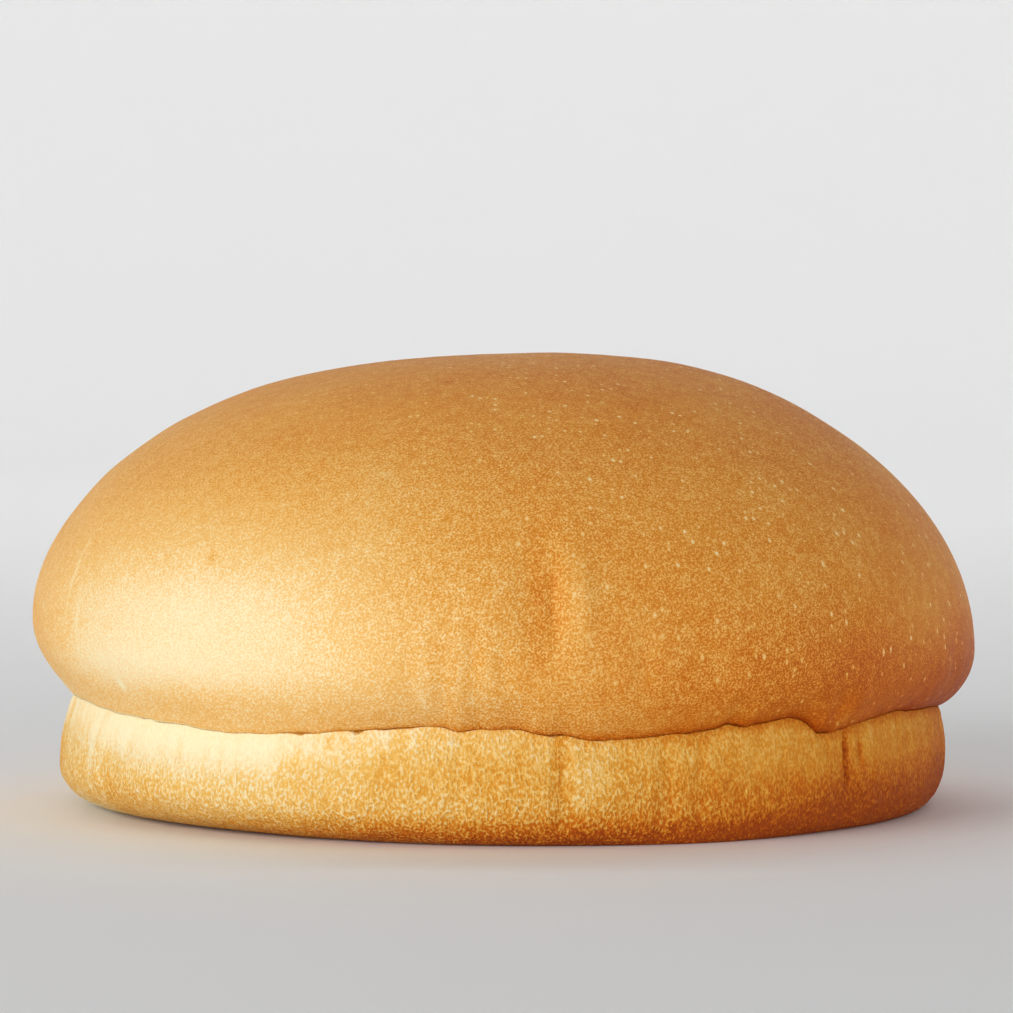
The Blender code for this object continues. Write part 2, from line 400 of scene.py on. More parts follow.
# Browning of the crown, with a lean as above: everywhere, near its top, low down,
# low at the back, and painted shade in a narrow edge along the crease
CROWN_BAKED = 0.80
CROWN_BAKED_LEAN = 0.27
TOP_BAKED = 0.17
TOP_HEIGHTS = (0.034, 0.048)
LOW_BAKED = -0.02
LOW_BAKED_LEAN = 0.75
LOW_HEIGHTS = (0.022, 0.012)
LOW_BACK_BAKED = -0.80
LOW_BACK_RISE = 0.60
BACK_PART = (0.0, 0.6)
EDGE_SHADE = 0.10
EDGE_SHADE_RISE = 0.80
EDGE_RIGHT = (-0.7, 0.5)
EDGE_WIDTH = 0.00045
EDGE_LOSS_AT_WEBS = 0.6

# Painted shade along the crease, added as browning: amount, where to the right it
# starts and is full, width
CROWN_SHADE = (0.90, -0.3, 0.75, 0.0011)
HEEL_SHADE = (0.62, -0.1, 0.6, 0.0008)

# Browning of the heel: everywhere, at the back, down its side, low on the right (partly
# painted shade), in streaks at the left end, in fibres, painted shade for each metre of
# a pleat's depth, and underneath
HEEL_BAKED = 0.30
HEEL_BAKED_LEAN = 0.66
HEEL_EVEN_FROM = 0.6
HEEL_LEAST_BAKED = -0.06
HEEL_BACK_BAKED = -0.30
HEEL_BACK_RISE = 0.42
SIDE_BAKED = 0.42
SIDE_WAY_DOWN = (0.0004, 0.0074)
SIDE_STRAY = 0.0011
# Low on the right the heel is baked darker, partly real and partly painted shade near the floor
CORNER_BAKE_AND_SHADE = 1.72
CORNER_RIGHT = (0.29, 0.93)
CORNER_HEIGHTS = (0.0080, 0.0028)
STREAK_BAKED = 0.30
STREAK_LEFT = (-0.70, -0.92)
FIBRE_BAKED = 0.24
FIBRE_BAKED_LEAN = 0.14
PLEAT_SHADE = 350
UNDER_BAKED = 1.9
UNDER_HEIGHT = 0.0004
UNDER_RADIUS = (0.044, 0.036)

# Bands round the foot that are baked more: amount, lean, heights of start and full
FOOT_BANDS = (
    (1.12, 1.35, 0.0038, 0.0003),
    (0.55, 0.75, 0.0016, 0.0003),
)

# Painted shade inside the fold, as browning; how uneven all browning is, and its bounds
INSIDE_SHADE = 1.0
INSIDE_SHADE_SWELLS = (
    (-150, 26, -0.65),
)
BLOTCH_STRENGTH = 0.12
SPOT_STRENGTH = 0.08
LEAST_SOFTNESS = 0.07
MOST_BAKED = 3

# Strength of the fine pattern on the crown, near the crease and on the heel, and
# what changes it: along which measure, start, full, amount
CROWN_GRAIN = 1.05
CROWN_GRAIN_CHANGES = (
    ("height", 0.038, 0.046, -0.35),
    ("right", 0.55, 0.95, -0.45),
    ("right", 0.0, -0.5, -0.3),
    ("right", 0.1, 0.4, -0.1),
)
CREASE_GRAIN = 0.14
CREASE_GRAIN_CHANGES = (
    ("right", 0.0, 0.5, -0.44),
)
CREASE_GRAIN_HEIGHTS = (0.0170, 0.0120)
HEEL_GRAIN = 0.95
HEEL_GRAIN_CHANGES = (
    ("height", 0.008, 0.003, 0.25),
    ("right", 0.2, 0.6, -0.42),
)
SMOOTH_TOP_LOSS = 0.55
SMOOTH_TOP_LEFT = (-0.1, -0.6)
SMOOTH_TOP_WAY_DOWN = (0.0045, 0.0015)

# Strength of the flecks: on the crown pale flecks of the crust, rising to the upper
# right; on the heel painted glints, pale specks that stand in for highlights
LEAST_FLECKS = 0.25
FLECK_RANGE = (-0.4, 0.6)
FLECK_HEIGHT = 0.025
FLECK_RISE = 0.04
# Painted glints on the heel: pale specks that stand in for highlights
HEEL_GLINTS = 0.60
HEEL_GLINT_HEIGHTS = (0.0100, 0.0060)

# Crust's pattern. A heel's value is what the heel adds to the crown's one, and
# HEEL_DRAWN draws its strokes out across and up.
GRAIN_SIZE = 0.00021
GRAIN_ROUGHNESS = 0.6
STROKE_RANGE = (0.36, 0.66)
STROKE_BAKED = 0.10
HEEL_DRAWN = (0.22, 0.52)
MOTTLE_SIZE = 0.0012
MOTTLE_CONTRAST = 0.45
FLECK_SPACING = 0.0010
FLECK_RADIUS = 0.00036
FLECK_RAGGEDNESS = 0.80
FLECK_DENSITY = 1.25
# On the heel the flecks are painted glints, set closer together
HEEL_GLINT_DENSITY = 0.45
FLECK_DENSITY_UP = 0.75
SMALLEST_FLECK = 0.25
FLECK_CORE = 0.45
FAINTEST_FLECK = 0.45
HEEL_TINT_RANGE = (0.0, 0.45)
GRAIN_RELIEF = 0.8
HEEL_GRAIN_RELIEF = 1.5
GRAIN_GLOSS = 0.25
HEEL_ROUGHER = 0.18
CRUST_IOR = 1.38

# Grid: rows of each stretch of the profile, and segments round the bun, which
# lie closer together near these azimuths: azimuth, half width in degrees, how
# much closer
SEGMENTS = 760
AZIMUTH_STEPS = 7200
DOME_ROWS = 46
LIP_ROWS = 20
FOLD_ROWS = 5
SHOULDER_ROWS = 32
FOOT_ROWS = 14
BASE_ROWS = 5
CLOSER = (
    (-90, 75, 0.8),
    (-43, 4, 2.5),
)

# Where the five crust colours stand on the ramp, as shares of MOST_BAKED
BAKE_STOPS = (0.0, 0.1, 0.267, 0.533, 1.0)

# Stage: a flat floor out to this radius, then a quarter circle up to an upright wall
FLOOR_RADIUS = 0.9
FLOOR_INNER_RADIUS = 0.45
FLOOR_ROUGHNESS = 0.8
SWEEP_RADIUS = 0.6
SWEEP_STEPS = 24
WALL_HEIGHT = 0.9
FLOOR_SEGMENTS = 96

# Lights: place, target, size
MIDDLE = (0.0, 0.0, 0.02)
BEHIND = (0.0, 1.30, 0.05)
KEY_LIGHT = ((-0.72, -0.65, 0.29), MIDDLE, (0.7, 0.52))
FILL_LIGHT = ((1.00, -0.03, 0.07), MIDDLE, (0.4, 0.12))
FRONT_LIGHT = ((0.05, -1.05, 0.20), MIDDLE, (0.8, 0.34))
TOP_LIGHT = ((-0.25, 0.50, 0.95), MIDDLE, (1.0, 1.0))
BACK_LIGHT = ((0.0, 0.50, 0.90), BEHIND, (2.0, 0.5))

# Camera: its tilt is in degrees below the level, its lens and sensor in millimetres
CAMERA_PLACE = (0.00032, -0.600, 0.0610)
CAMERA_TILT = 2.743
CAMERA_LENS = 196.5
CAMERA_SENSOR = 36.0
CAMERA_CLIP_END = 20.0


def bell(distance, width):
    """A bell curve: 1 in its middle, and 1/e where the distance is the width."""
    return np.exp(-((distance / width) ** 2))


def swell(azimuth, centre, half_width):
    """A bell curve round the circle, its centre and half width in degrees."""
    away = np.angle(np.exp(1j * (azimuth - math.radians(centre))))
    return bell(away, math.radians(half_width))


def with_swells(azimuth, mean, places):
    """The mean size, with each place's amount added round its azimuth."""
    return mean + sum(amount * swell(azimuth, centre, width) for centre, width, amount in places)


def smooth_step(start, full, value):
    """0 before the start, 1 from full on, and 3t^2 - 2t^3 between them. Full may be the lower one."""
    share = np.clip((value - start) / (full - start), 0, 1)
    return share * share * (3 - 2 * share)


def changed(mean, changes, measures):
    """The mean, with each change's amount added as its measure goes from its start to full."""
    for measure, start, full, amount in changes:
        mean = mean + amount * smooth_step(start, full, measures[measure])
    return mean


def lattice_noise(points, size, seed):
    """Smooth random values from -1 to 1.

    Random numbers stand on a lattice whose cells have this size, one number or one
    for each axis, and are blended between its corners by 3t^2 - 2t^3 along each axis.
    """
    side = 48
    table = np.random.default_rng(seed).uniform(-1, 1, (side, side, side))
    scaled = points / np.asarray(size)
    cell = np.floor(scaled).astype(int)
    share = scaled - cell
    share = share * share * (3 - 2 * share)
    total = np.zeros(points.shape[:-1])
    for corner in itertools.product((0, 1), repeat=3):
        weight = np.where(corner, share, 1 - share).prod(axis=-1)
        place = (cell + corner) % side
        total += weight * table[place[..., 0], place[..., 1], place[..., 2]]
    return total


def noise(points, pattern):
    """Lattice noise in layers, each half as large and half as strong as the last."""
    size, seed, layers = NOISES[pattern]
    total = sum(
        lattice_noise(points, np.asarray(size) / 2**layer, seed + layer) / 2**layer
        for layer in range(layers)
    )
    return total / (2 - 0.5 ** (layers - 1))


def segment_azimuths():
    """Azimuth of each segment: equal shares of a density that rises near the CLOSER places."""
    even = np.linspace(-math.pi, math.pi, AZIMUTH_STEPS + 1)
    density = with_swells(even, 1.0, CLOSER)
    share = np.cumsum(density)
    share = (share - share[0]) / (share[-1] - share[0])
    return np.interp(np.arange(SEGMENTS) / SEGMENTS, share, even)


def ring_points(azimuth, radius, height):
    """Points at each radius and height, round the upright axis."""
    return np.stack([radius * np.cos(azimuth), radius * np.sin(azimuth), height], axis=-1)


def ragged(azimuth, pattern):
    """Noise round the bun, along a circle as wide as its crown."""
    circle = ring_points(azimuth, CAD_HIGH.x, np.zeros_like(azimuth))
    return noise(circle, pattern)


def webs_round(azimuth):
    """How nearly the crease is closed: at the named webs, and at random ones round the back."""
    named = with_swells(azimuth, 0, WEBS)
    chance = smooth_step(*CHANCE_WEBS, ragged(azimuth, "webs"))
    at_back = smooth_step(*CHANCE_WEB_BACK, np.sin(azimuth))
    return np.clip(named + CHANCE_WEB_CLOSING * chance * at_back, 0, 1)


def sizes_round(azimuth, sizes):
    """Every size of the profile at each azimuth."""
    right = np.cos(azimuth)
    narrower = (sizes.width - sizes.depth) / 2 * np.sin(azimuth) ** 2
    heel = with_swells(azimuth, sizes.heel_width / 2 - narrower, HEEL_SWELLS)
    crease_mean = sizes.crease_height + CREASE_HEIGHT_LEAN * right
    webs = webs_round(azimuth)
    crease_height = with_swells(azimuth, crease_mean, CREASE_WAVES + CREASE_KINKS)
    return {
        "right": right,
        "top": sizes.height + DOME_OVERSHOOT,
        "crown": with_swells(azimuth, sizes.width / 2 - narrower, CROWN_SWELLS),
        "equator": EQUATOR_HEIGHT + EQUATOR_LEAN * right,
        "lip_power": LIP_POWER + LIP_POWER_LEAN * right,
        "crease": heel - CREASE_INSET - CREASE_INSET_LEAN * right,
        "crease_height": crease_height + sizes.raggedness * ragged(azimuth, "crease"),
        "fold": with_swells(azimuth, sizes.fold_depth, FOLD_DEPTHS) * (1 - WEB_SHALLOWER * webs),
        "gap": with_swells(azimuth, sizes.fold_gap, FOLD_GAPS) * (1 - WEB_NARROWER * webs),
        "heel": heel,
        "heel_height": with_swells(azimuth, HEEL_WIDEST_HEIGHT, HEEL_RISES),
        "rounding": SHOULDER_ROUNDING + SHOULDER_ROUNDING_LEAN * right,
        "foot": with_swells(azimuth, FOOT_RADIUS, FOOT_TUCKS),
    }


def quarter_turns(rows):
    """Angles of a quarter turn, without its start, as a column."""
    return np.linspace(0, math.pi / 2, rows + 1)[1:, None]


def dome(size):
    """Superellipse from the top of the bun out to the crown's widest ring."""
    turn = quarter_turns(DOME_ROWS)
    out = np.sin(turn) ** (2 / DOME_POWER)
    up = np.cos(turn) ** (2 / DOME_POWER)
    top = size["top"] + DOME_LEAN * size["right"] * out
    return size["crown"] * out, size["equator"] + (top - size["equator"]) * up


def lip(size):
    """Quarter turn from the widest ring down and in to the mouth of the crease.

    A larger lip power keeps it full for longer before it turns in.
    """
    turn = quarter_turns(LIP_ROWS)
    overhang = size["crown"] - size["crease"]
    radius = size["crease"] + overhang * np.cos(turn) ** (2 / size["lip_power"])
    return radius, size["equator"] - (size["equator"] - size["crease_height"]) * np.sin(turn)


def fold(size):
    """The crease: in along its upper wall to its bottom, and out along the lower one.

    It rises by FOLD_RISE times the square of the way in. The gap closes as the square
    root of the way that is left. The lower wall ends further in than the upper one,
    where the shoulder's rounding starts.
    """
    inward = np.linspace(0, 1, FOLD_ROWS + 1)[1:, None]
    inward = np.concatenate([inward, inward[-2::-1], np.zeros((1, 1))])
    side = np.repeat([1, -1], FOLD_ROWS)[:, None]
    half_gap = size["gap"] / 2 * np.sqrt(1 - inward)
    middle = size["crease_height"] - size["gap"] / 2 + FOLD_RISE * (size["fold"] * inward) ** 2
    mouth = np.where(side > 0, 0, size["rounding"])
    return size["crease"] - mouth - (size["fold"] - mouth) * inward, middle + side * half_gap


def shoulder(size):
    """Power curve from the crease down to the heel's widest ring.

    A high power on it rounds its start. The rows lie closer together near the crease.
    """
    left = 1 - np.linspace(0, 1, SHOULDER_ROWS + 1)[1:, None] ** SHOULDER_SPACING
    radius = size["heel"] - (size["heel"] - size["crease"]) * left**SHOULDER_POWER
    radius = radius - size["rounding"] * left**SHOULDER_ROUNDING_POWER
    fall = size["crease_height"] - size["gap"] - size["heel_height"]
    return radius, size["heel_height"] + fall * left


def foot(size):
    """Quarter ellipse from the heel's widest ring in to the flat underside."""
    turn = quarter_turns(FOOT_ROWS)
    radius = size["foot"] + (size["heel"] - size["foot"]) * np.cos(turn)
    return radius, size["heel_height"] * (1 - np.sin(turn))


def base(size):
    """Rings across the flat underside, in equal steps towards its middle."""
    share = np.linspace(1, 0, BASE_ROWS + 2)[1:-1, None]
    radius = size["foot"] * share
    return radius, np.zeros_like(radius)


def sunk_in(points, depth):
    """The points moved towards the upright axis by the depth, and less close to the axis."""
    radius = np.hypot(points[..., 0], points[..., 1])
    shrink = 1 - depth / np.maximum(radius, CAD_HIGH.x / 4)
    return points * np.stack([shrink, shrink, np.ones_like(shrink)], axis=-1)


def hump(points, centre, radius):
    """A bell curve of the distance in space from its centre."""
    return bell(np.linalg.norm(points - np.array(centre), axis=-1), radius)


def lumpy(points, sizes):
    """The points moved out from the bun's middle by swellings and lumps, and in by hollows.

    The lumps lie on a golden-angle spiral over the dome, each of a random height.
    """
    chance = np.random.default_rng(LUMP_SEED)
    middle = np.array([0, 0, sizes.crease_height])
    moved = np.zeros(points.shape[:-1])
    for *centre, radius, amount in DOME_SWELLINGS:
        moved += amount * hump(points, centre, radius)
    for index in range(LUMP_COUNT):
        share = (index + 0.5) / LUMP_COUNT
        turn = index * math.pi * (3 - math.sqrt(5))
        level = math.sqrt(1 - share**2) * sizes.width / 2
        height = sizes.crease_height + (sizes.height - sizes.crease_height) * share
        centre = (level * math.cos(turn), level * math.sin(turn), height)
        moved += LUMP_AMOUNT * chance.uniform(-1, 1) * hump(points, centre, LUMP_RADIUS)
    reach = np.linalg.norm(points - middle, axis=-1)
    return middle + (points - middle) * (1 + moved / reach)[..., None]


def angle_across(half_width):
    """Degrees that a width on the crown's widest ring takes up."""
    return math.degrees(half_width / CAD_HIGH.x)


def marked(points, marks):
    """Sum of the marks at each point: a bell curve across times one up the skin, times its amount."""
    azimuth = np.arctan2(points[..., 1], points[..., 0])
    total = np.zeros(points.shape[:-1])
    for centre, height, half_width, half_length, amount in marks:
        up = bell(points[..., 2] - height, half_length)
        total += amount * up * swell(azimuth, centre, angle_across(half_width))
    return total


def pressed_crown(points, sizes):
    """The crown with its unevenness, the flattened top and the dents pressed in."""
    points = lumpy(points, sizes)
    x, y, z = points[..., 0], points[..., 1], points[..., 2]
    points = sunk_in(points, marked(points, CROWN_DENTS))
    flat = bell(np.hypot(x - TOP_FLAT_SHIFT, y), TOP_FLAT_RADIUS)
    points[..., 2] -= TOP_FLAT_DEPTH * flat * (z > EQUATOR_HEIGHT)
    return points


def heel_pleats(points, sizes):
    """Depth of the pleats down the heel, deepest halfway up its side."""
    azimuth = np.arctan2(points[..., 1], points[..., 0])
    pleats = np.zeros(points.shape[:-1])
    for centre, half_width, depth in HEEL_PLEATS:
        pleats += depth * swell(azimuth, centre, angle_across(half_width))
    up_the_heel = np.clip(points[..., 2] / sizes.crease_height, 0, 1)
    return pleats * np.sin(math.pi * up_the_heel)


def outward_normals(points):
    """Unit normals of the rings' grid: the way down crossed with the way round."""
    down = np.gradient(points, axis=0)
    around = np.roll(points, -1, axis=1) - np.roll(points, 1, axis=1)
    normal = np.cross(down, around)
    length = np.linalg.norm(normal, axis=-1, keepdims=True)
    return normal / np.maximum(length, 1e-12)


def way_from_fold(points):
    """Distance along the profile from the bottom of the fold: above 0 on the crown, below on the heel."""
    steps = np.linalg.norm(np.diff(points, axis=0), axis=-1)
    walked = np.concatenate([np.zeros((1, points.shape[1])), np.cumsum(steps, axis=0)])
    return walked[DOME_ROWS + LIP_ROWS + FOLD_ROWS - 1] - walked


def crown_relief(points, above):
    """Height of the crown's low relief: slow waves, and puckers that run up from the crease."""
    waves = WAVE_HEIGHT * noise(points, "waves")
    waves = waves + RIPPLE_HEIGHT * noise(points, "ripples")
    puckers = noise(points, "puckers")
    return waves + PUCKER_HEIGHT * puckers * bell(above - PUCKER_MIDDLE, PUCKER_REACH)


def heel_fibres(points, below):
    """The upright fibres under the crease, from -1 to 1, and how fibrous each place is."""
    return noise(points, "fibres"), smooth_step(*FIBRE_REACH, below)


def heel_relief(points, below):
    """Height of the heel's relief: upright fibres under the crease, crumbly lumps lower down."""
    fibres, fibrous = heel_fibres(points, below)
    lumps = noise(points, "crumb")
    return FIBRE_HEIGHT * fibrous * fibres + CRUMB_HEIGHT * (1 - fibrous) * lumps


def crack(points, azimuth, centre, top, bottom, half_width, depth):
    """Depth of an upright crack: a bell curve across, steep on its left and slow on its right.

    It wanders as it runs down, by a sum of sine waves, and fades at its ends.
    """
    z = points[..., 2]
    wander = sum(turn * np.sin(z * rate + start) for turn, rate, start in CRACK_WANDER)
    across = np.exp(1j * (azimuth - np.radians(centre + wander)))
    away = np.angle(across) * CAD_HIGH.x / half_width
    away = np.where(away > 0, away / CRACK_SLOW_SIDE, away)
    rise = smooth_step(bottom, bottom + CRACK_FADE_BELOW, z)
    fall = smooth_step(top, top - CRACK_FADE_ABOVE, z)
    return depth * np.exp(-(away**2)) * (rise * fall)


def bun_surface(sizes):
    """Every ring of the skin from the top down, and how far each point is above and below the crease."""
    azimuth = segment_azimuths()
    size = sizes_round(azimuth, sizes)
    upper = [np.concatenate(pair) for pair in zip(dome(size), lip(size))]
    lower = [np.concatenate(four) for four in zip(fold(size), shoulder(size), foot(size), base(size))]
    crown = pressed_crown(ring_points(azimuth, *upper), sizes)
    heel = ring_points(azimuth, *lower)
    heel = sunk_in(heel, heel_pleats(heel, sizes))
    points = np.concatenate([crown, heel])
    way = way_from_fold(points)
    above = way - size["fold"]
    below = -way - size["fold"]
    on_crown = smooth_step(*RELIEF_FROM_CREASE, above)
    on_heel = smooth_step(*RELIEF_FROM_CREASE, below) * smooth_step(*RELIEF_FROM_FLOOR, points[..., 2])
    relief = on_crown * crown_relief(points, above) + on_heel * heel_relief(points, below)
    for split in HEEL_CRACKS:
        relief -= on_heel * crack(points, azimuth, *split)
    relief *= sizes.relief
    points = points + outward_normals(points) * relief[..., None]
    points[..., 2] = np.maximum(points[..., 2], 0)
    return fitted(points), above, below


def fitted(points):
    """The points moved and stretched a little, so that they fill the CAD solid's box."""
    flat = points.reshape(-1, 3)
    low, high = flat.min(axis=0), flat.max(axis=0)
    share = (points - low) / (high - low)
    return np.array(CAD_LOW) + share * (np.array(CAD_HIGH) - np.array(CAD_LOW))


def above_zero(value, softness):
    """The value where it is well above 0, and otherwise bent off so that it never falls below 0."""
    return (value + np.sqrt(value * value + softness * softness)) / 2


def right_and_height(points):
    """Part of the way out to the right, and height, of each point."""
    return points[..., 0] / CAD_HIGH.x, points[..., 2]


def towards_back(points):
    """0 on the front half of the bun, rising to 1 on its back."""
    return smooth_step(*BACK_PART, points[..., 1] / CAD_HIGH.y)


def shade(away, right, amount, start, full, width):
    """Painted shade along the crease, added as browning: a bell curve across it, stronger to the right."""
    return amount * smooth_step(start, full, right) * bell(away, width)


def crown_browning_and_painted_light(points, above, webs):
    """How far the crown is baked, with painted shade and painted highlights added.

    More to the right and towards the top, more low on the right and less low on the
    left, and darker by painted shade in an edge and a band along the crease, strongest
    on the right.
    """
    right, z = right_and_height(points)
    low = LOW_BAKED + LOW_BAKED_LEAN * right
    low = np.maximum(low, LOW_BACK_BAKED + LOW_BACK_RISE * towards_back(points))
    baked = CROWN_BAKED + CROWN_BAKED_LEAN * right + TOP_BAKED * smooth_step(*TOP_HEIGHTS, z)
    baked = baked + low * smooth_step(*LOW_HEIGHTS, z)
    # Painted shade in a narrow edge along the crease, weaker where webs close it
    edge = (EDGE_SHADE + EDGE_SHADE_RISE * smooth_step(*EDGE_RIGHT, right)) * bell(above, EDGE_WIDTH)
    baked = baked + edge * (1 - EDGE_LOSS_AT_WEBS * webs) + shade(above, right, *CROWN_SHADE)
    return baked + marked(points, CROWN_MARKS)


def heel_browning_and_painted_shade(points, below, sizes):
    """How far the heel is baked, with painted shade added.

    More to the right and down its side, most at the foot and, partly as painted shade,
    in the corner low on the right, and darker by painted shade in the pleats, in the
    cracks and along the crease. The back has a lower bound of its own.
    """
    right, z = right_and_height(points)
    stray = SIDE_STRAY * noise(points, "stray")
    down = smooth_step(*SIDE_WAY_DOWN, below + stray)
    corner = smooth_step(*CORNER_RIGHT, right) * smooth_step(*CORNER_HEIGHTS, z)
    mean = HEEL_BAKED + HEEL_BAKED_LEAN * np.minimum(right, HEEL_EVEN_FROM)
    mean = np.maximum(mean, HEEL_BACK_BAKED + HEEL_BACK_RISE * towards_back(points))
    baked = np.maximum(mean, HEEL_LEAST_BAKED) + (SIDE_BAKED + np.minimum(mean, 0)) * down
    baked = baked + CORNER_BAKE_AND_SHADE * corner
    for amount, lean, start, full in FOOT_BANDS:
        baked = baked + (amount + lean * right) * smooth_step(start, full, z)
    streaks = smooth_step(*STREAK_LEFT, right) * noise(points, "streaks")
    fibres, fibrous = heel_fibres(points, below)
    baked = baked + STREAK_BAKED * streaks
    baked = baked - (FIBRE_BAKED + FIBRE_BAKED_LEAN * right) * fibrous * fibres
    # Painted shade on the heel just under the crease
    baked = baked + shade(below, right, *HEEL_SHADE)
    # Painted shade in the pleats by their depth, then the marks, some of them painted shade
    baked = baked + PLEAT_SHADE * heel_pleats(points, sizes) + marked(points, HEEL_MARKS)
    radius = np.hypot(points[..., 0], points[..., 1])
    under = (z < UNDER_HEIGHT) * smooth_step(*UNDER_RADIUS, radius)
    return baked + (UNDER_BAKED - baked) * under


def browning(points, above, below, sizes):
    """How far each place is baked, with painted shade and highlights added: 0 is raw cream, about 1 golden,
    MOST_BAKED the darkest brown.
    """
    azimuth = np.arctan2(points[..., 1], points[..., 0])
    # Painted shade inside the fold: browner to the right, paler round the left
    inside = with_swells(azimuth, INSIDE_SHADE + points[..., 0] / CAD_HIGH.x, INSIDE_SHADE_SWELLS)
    crown = crown_browning_and_painted_light(points, above, webs_round(azimuth))
    heel = heel_browning_and_painted_shade(points, below, sizes)
    baked = np.where(above > 0, crown, np.where(below > 0, heel, inside))
    uneven = 1 + BLOTCH_STRENGTH * noise(points, "blotches")
    uneven = uneven + SPOT_STRENGTH * noise(points, "spots")
    return np.minimum(above_zero(baked * uneven, LEAST_SOFTNESS), MOST_BAKED)


def grain_strength(points, below):
    """How strong the fine pattern is.

    On the crown it is weaker near the top and to both sides, and near the crease a little
    stronger on the left and weaker on the right. On the heel it is stronger low down, and
    weaker on the right and where the heel is smooth, high on its left.
    """
    right, z = right_and_height(points)
    measures = {"height": z, "right": right}
    near_crease = changed(CREASE_GRAIN, CREASE_GRAIN_CHANGES, measures)
    crown = changed(CROWN_GRAIN, CROWN_GRAIN_CHANGES, measures)
    crown = crown + near_crease * smooth_step(*CREASE_GRAIN_HEIGHTS, z)
    smooth_top = smooth_step(*SMOOTH_TOP_LEFT, right) * smooth_step(*SMOOTH_TOP_WAY_DOWN, below)
    heel = changed(HEEL_GRAIN, HEEL_GRAIN_CHANGES, measures) - SMOOTH_TOP_LOSS * smooth_top
    return np.where(below > 0, heel, crown)


def fleck_and_glint_strength(points, above):
    """How strong the pale flecks are: most on the upper right of the crown; low on the heel, as painted
    glints.
    """
    right, z = right_and_height(points)
    upper_right = smooth_step(*FLECK_RANGE, right + (z - FLECK_HEIGHT) / FLECK_RISE)
    crown = LEAST_FLECKS + (1 - LEAST_FLECKS) * upper_right
    return np.where(above > 0, crown, HEEL_GLINTS * smooth_step(*HEEL_GLINT_HEIGHTS, z))


def quads_round(place):
    """Quads between neighbouring rings of numbered points, each ring closed."""
    after = np.roll(place, -1, axis=1)
    return np.stack([place[:-1], place[1:], after[1:], after[:-1]], axis=-1).reshape(-1, 4).tolist()


def closed_tube_faces(rings, segments):
    """Quads between neighbouring rings, and triangles to a first and a last point that close the ends."""
    place = np.arange(rings * segments).reshape(rings, segments) + 1
    after = np.roll(place, -1, axis=1)
    first = np.stack([np.zeros(segments, int), place[0], after[0]], axis=-1)
    last = np.stack([np.full(segments, rings * segments + 1), after[-1], place[-1]], axis=-1)
    return quads_round(place) + first.tolist() + last.tolist()


def with_ends(grid):
    """The grid's values as one list, between the means of its first and of its last ring."""
    first, last = grid[0].mean(axis=0), grid[-1].mean(axis=0)
    return np.concatenate([first[None], grid.reshape(-1, *grid.shape[2:]), last[None]])


def placed(name, data):
    """A new object with this data, in the scene."""
    made = bpy.data.objects.new(name, data)
    bpy.context.scene.collection.objects.link(made)
    return made


def smooth_object(name, points, faces, material):
    """A smooth mesh object at the origin."""
    mesh = bpy.data.meshes.new(name)
    mesh.from_pydata(points.tolist(), [], faces)
    mesh.shade_smooth()
    mesh.materials.append(material)
    return placed(name, mesh)


def add_piece(name, points, faces, material):
    """A smooth mesh object on the bun's body."""
    piece = smooth_object(name, points, faces, material)
    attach(piece, "root")
    return piece


def store(mesh, name, values):
    """One number for each point, for the material to read."""
    attribute = mesh.attributes.new(name, "FLOAT", "POINT")
    attribute.data.foreach_set("value", values.astype(np.float32))


class Socket:
    """An output of a node. Arithmetic on it adds Math nodes."""

    def __init__(self, graph, link):
        self.graph = graph
        self.link = link

    def also(self, output):
        """Another output of the same node."""
        return Socket(self.graph, self.link.node.outputs[output])

    def math(self, operation, *values):
        inputs = dict(enumerate(values))
        return self.graph.node("ShaderNodeMath", {"operation": operation}, inputs)

    def __add__(self, other):
        return self.math("ADD", self, other)

    def __radd__(self, other):
        return self.math("ADD", other, self)

    def __sub__(self, other):
        return self.math("SUBTRACT", self, other)

    def __rsub__(self, other):
        return self.math("SUBTRACT", other, self)

    def __mul__(self, other):
        return self.math("MULTIPLY", self, other)

    def __rmul__(self, other):
        return self.math("MULTIPLY", other, self)


